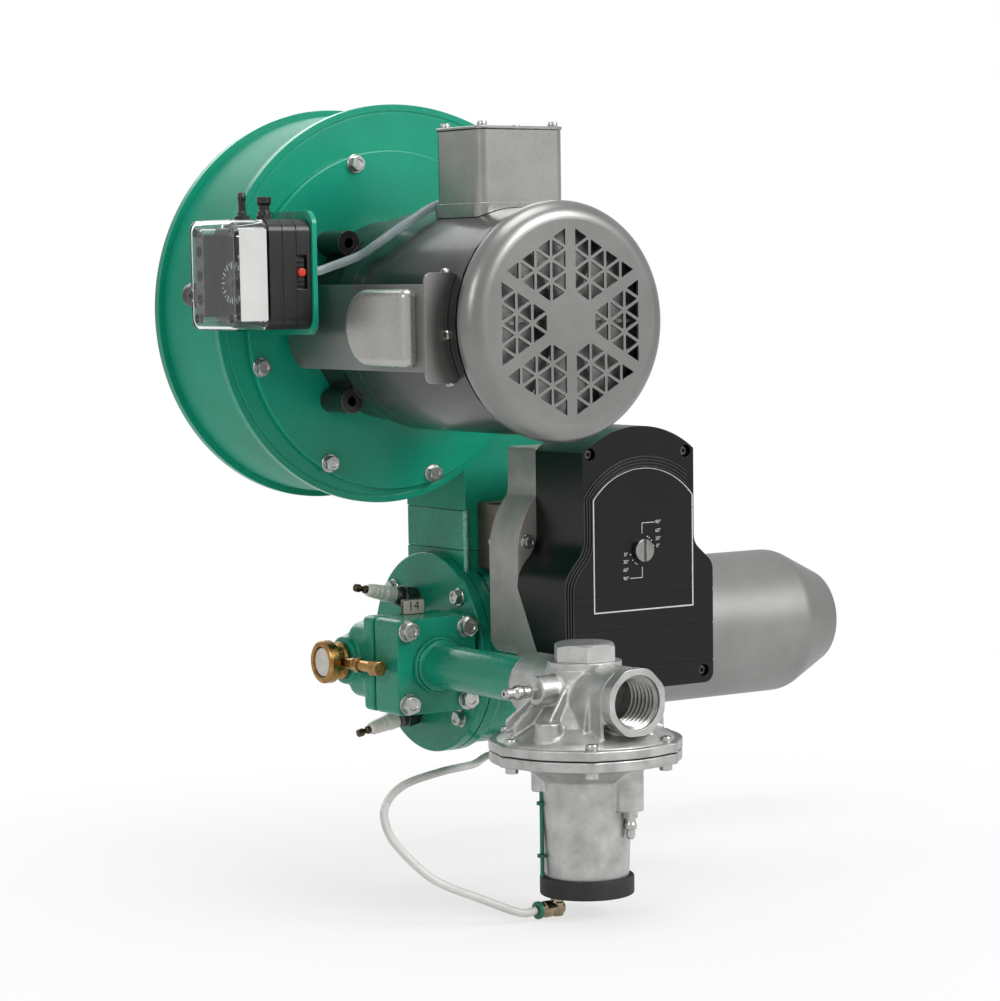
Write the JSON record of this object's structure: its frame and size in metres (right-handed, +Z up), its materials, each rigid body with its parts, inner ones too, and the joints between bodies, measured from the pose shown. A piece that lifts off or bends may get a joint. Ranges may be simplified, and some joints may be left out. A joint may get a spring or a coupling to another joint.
{
  "type": "industrial gas burner",
  "caption": "Packaged gas burner: drum blower with flange motor, butterfly valve and actuator, ratio regulator, air pressure switch and conical alloy combustion tube.",
  "frame": {"origin": "centre of the wall flange's front face, on the combustion tube's axis", "axes": "+X along the combustion tube into the furnace, +Z up, -Y the side where the motor's fan cover faces"},
  "size_m": [0.6211, 0.4255, 0.5823],
  "materials": {
    "green_enamel": "gloss",
    "motor_paint": "satin",
    "die_cast": "as cast",
    "bright_steel": "zinc plated",
    "tube_alloy": "satin",
    "brass": "turned",
    "black_plastic": "moulded",
    "rubber": "matt",
    "ceramic": "glazed",
    "clear_plastic": "clear",
    "sight_glass": "clear",
    "milky_plastic": "translucent",
    "red_plastic": "gloss",
    "winding_copper": "enamelled wire"
  },
  "bodies": {
    "burner": {"burner_body": "green_enamel", "rear_cover": "green_enamel", "combustion_tube": "tube_alloy", "spark_plug_shell": "bright_steel", "spark_plug_insulator": "ceramic", "flame_rod_shell": "bright_steel", "flame_rod_insulator": "ceramic", "gas_nozzle": "bright_steel", "flame_holder": "bright_steel", "gas_casting": "green_enamel", "sight_port": "brass", "sight_glass": "sight_glass", "branch_plug": "brass", "orifice_plate": "bright_steel", "gas_block": "green_enamel", "blower_housing": "green_enamel", "near_side_plate": "green_enamel", "far_side_plate": "green_enamel", "air_inlet_ring": "green_enamel", "motor_plate": "green_enamel", "motor_frame": "motor_paint", "front_end_bell": "motor_paint", "rear_end_bell": "motor_paint", "fan_cover": "motor_paint", "stator_core": "winding_copper", "front_bearing": "bright_steel", "rear_bearing": "bright_steel", "terminal_box": "motor_paint", "terminal_box_lid": "motor_paint", "capacitor_cover": "motor_paint", "valve_housing": "green_enamel", "actuator_bracket": "bright_steel", "actuator_base": "die_cast", "actuator_cover": "black_plastic", "regulator_body": "die_cast", "inlet_collar": "die_cast", "regulator_cap": "die_cast", "diaphragm": "rubber", "spring_housing": "die_cast", "regulator_spring": "bright_steel", "spring_end_cap": "rubber", "impulse_elbow": "brass", "switch_bracket": "green_enamel", "switch_base": "black_plastic", "switch_cover": "clear_plastic", "cable_gland": "black_plastic", "air_tap": "brass", "sensing_tube": "clear_plastic", "impulse_tube": "milky_plastic"},
    "rotor": {"motor_shaft": "bright_steel", "rotor_core": "bright_steel", "cooling_fan": "black_plastic", "impeller": "bright_steel"},
    "butterfly": {"damper_disc": "bright_steel", "damper_shaft": "bright_steel", "position_dial": "bright_steel"},
    "regulator_stem": {"valve_stem": "brass"},
    "switch_dial": {"setting_dial": "black_plastic"},
    "reset_button": {"reset_button": "red_plastic"}
  },
  "joints": [
    {"name": "rotor_spin", "type": "hinge", "parent": "burner", "child": "rotor", "pos_m": [-0.2083, 0, 0.2615], "axis": [0, 1, 0], "continuous": true},
    {"name": "damper_turn", "type": "hinge", "parent": "burner", "child": "butterfly", "pos_m": [-0.0775, 0, 0.0886], "axis": [0, 1, 0], "range_deg": [0, 90]},
    {"name": "stem_slide", "type": "slide", "parent": "burner", "child": "regulator_stem", "axis": [0, 0, 1], "range_m": [-0.0026, 0.003], "stiffness_N_per_m": 900, "springref_m": 0.0015, "deforming": ["regulator_spring"]},
    {"name": "dial_turn", "type": "hinge", "parent": "burner", "child": "switch_dial", "pos_m": [-0.3643, -0.094, 0.2915], "axis": [1, 0, 0], "range_deg": [0, 270]},
    {"name": "button_press", "type": "slide", "parent": "burner", "child": "reset_button", "axis": [0, 1, 0], "range_m": [0, 0.0015], "stiffness_N_per_m": 400}
  ]
}
